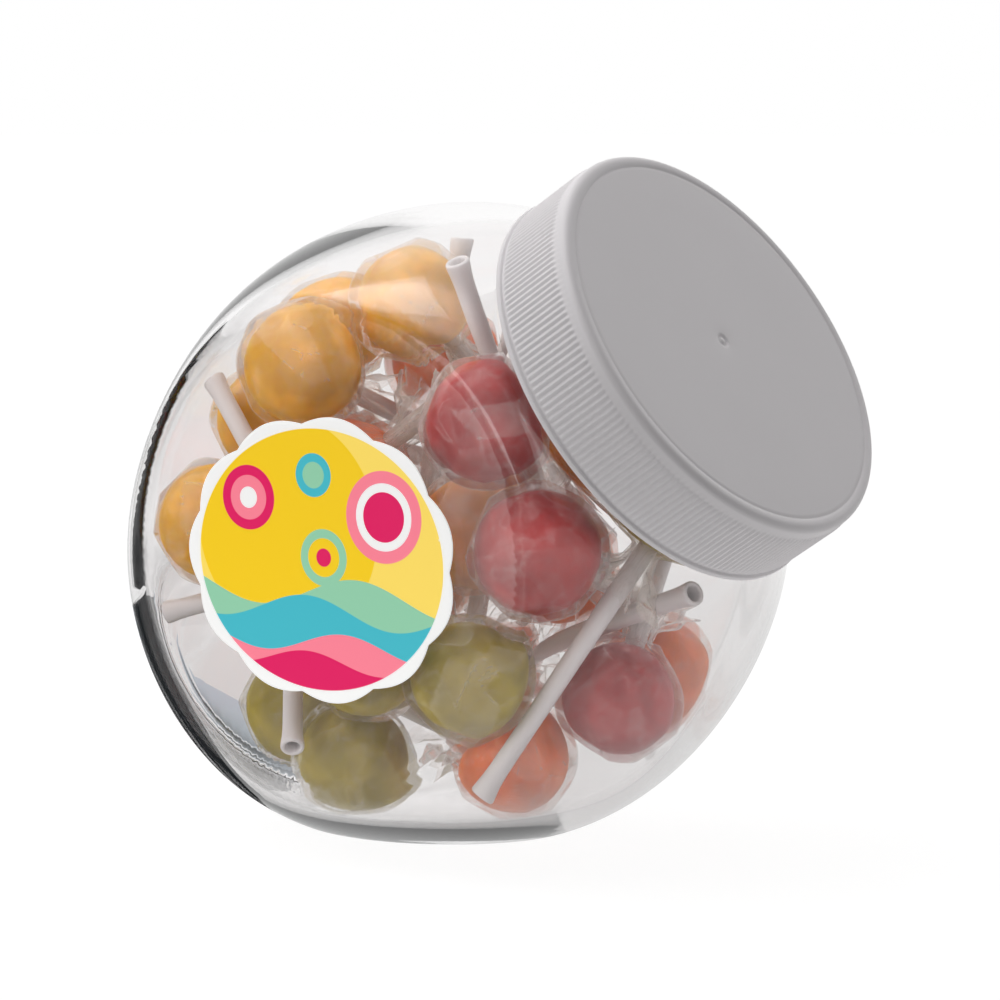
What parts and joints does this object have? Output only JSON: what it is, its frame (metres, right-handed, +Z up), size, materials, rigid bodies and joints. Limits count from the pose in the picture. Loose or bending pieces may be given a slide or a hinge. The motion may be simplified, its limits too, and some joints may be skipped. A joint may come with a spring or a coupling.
{
  "type": "glass jar of lollipops",
  "caption": "Round tilted glass sweet jar with a white ribbed screw lid and a plain decorative sticker, filled with clear-wrapped ball lollipops on thin sticks.",
  "frame": {"origin": "on the flat foot that the jar stands on, straight below the centre of its round body", "axes": "+Z up; -Y out of the front panel, which carries the sticker; the mouth and lid point up and towards +X"},
  "size_m": [0.1561, 0.0888, 0.1386],
  "materials": {
    "glass": "clear pressed glass, glossy",
    "lid_plastic": "white moulded plastic, satin",
    "label_print": "printed vinyl sticker",
    "stick_plastic": "white plastic tube",
    "candy_yellow": "translucent boiled sugar in clear film",
    "candy_amber": "translucent boiled sugar in clear film",
    "candy_orange": "translucent boiled sugar in clear film",
    "candy_red": "translucent boiled sugar in clear film",
    "candy_green": "translucent boiled sugar in clear film"
  },
  "bodies": {
    "root": {"jar": "glass", "label": "label_print", "lid": "lid_plastic", "stick_01": "stick_plastic", "stick_02": "stick_plastic", "stick_03": "stick_plastic", "stick_04": "stick_plastic", "stick_05": "stick_plastic", "stick_06": "stick_plastic", "stick_07": "stick_plastic", "stick_08": "stick_plastic", "stick_09": "stick_plastic", "stick_10": "stick_plastic", "stick_11": "stick_plastic", "stick_12": "stick_plastic", "stick_13": "stick_plastic", "stick_14": "stick_plastic", "stick_15": "stick_plastic", "stick_16": "stick_plastic", "stick_17": "stick_plastic", "stick_18": "stick_plastic", "stick_19": "stick_plastic", "stick_20": "stick_plastic", "stick_21": "stick_plastic", "stick_22": "stick_plastic", "stick_23": "stick_plastic", "stick_24": "stick_plastic", "stick_25": "stick_plastic", "sweet_01_yellow": "candy_yellow", "sweet_02_yellow": "candy_yellow", "sweet_03_yellow": "candy_yellow", "sweet_04_yellow": "candy_yellow", "sweet_05_red": "candy_red", "sweet_06_amber": "candy_amber", "sweet_07_red": "candy_red", "sweet_08_red": "candy_red", "sweet_09_orange": "candy_orange", "sweet_10_orange": "candy_orange", "sweet_11_green": "candy_green", "sweet_12_green": "candy_green", "sweet_13_green": "candy_green", "sweet_14_yellow": "candy_yellow", "sweet_15_orange": "candy_orange", "sweet_16_green": "candy_green", "sweet_17_orange": "candy_orange", "sweet_18_orange": "candy_orange", "sweet_19_amber": "candy_amber", "sweet_20_orange": "candy_orange", "sweet_21_orange": "candy_orange", "sweet_22_red": "candy_red", "sweet_23_green": "candy_green", "sweet_24_orange": "candy_orange", "sweet_25_amber": "candy_amber"}
  },
  "joints": []
}
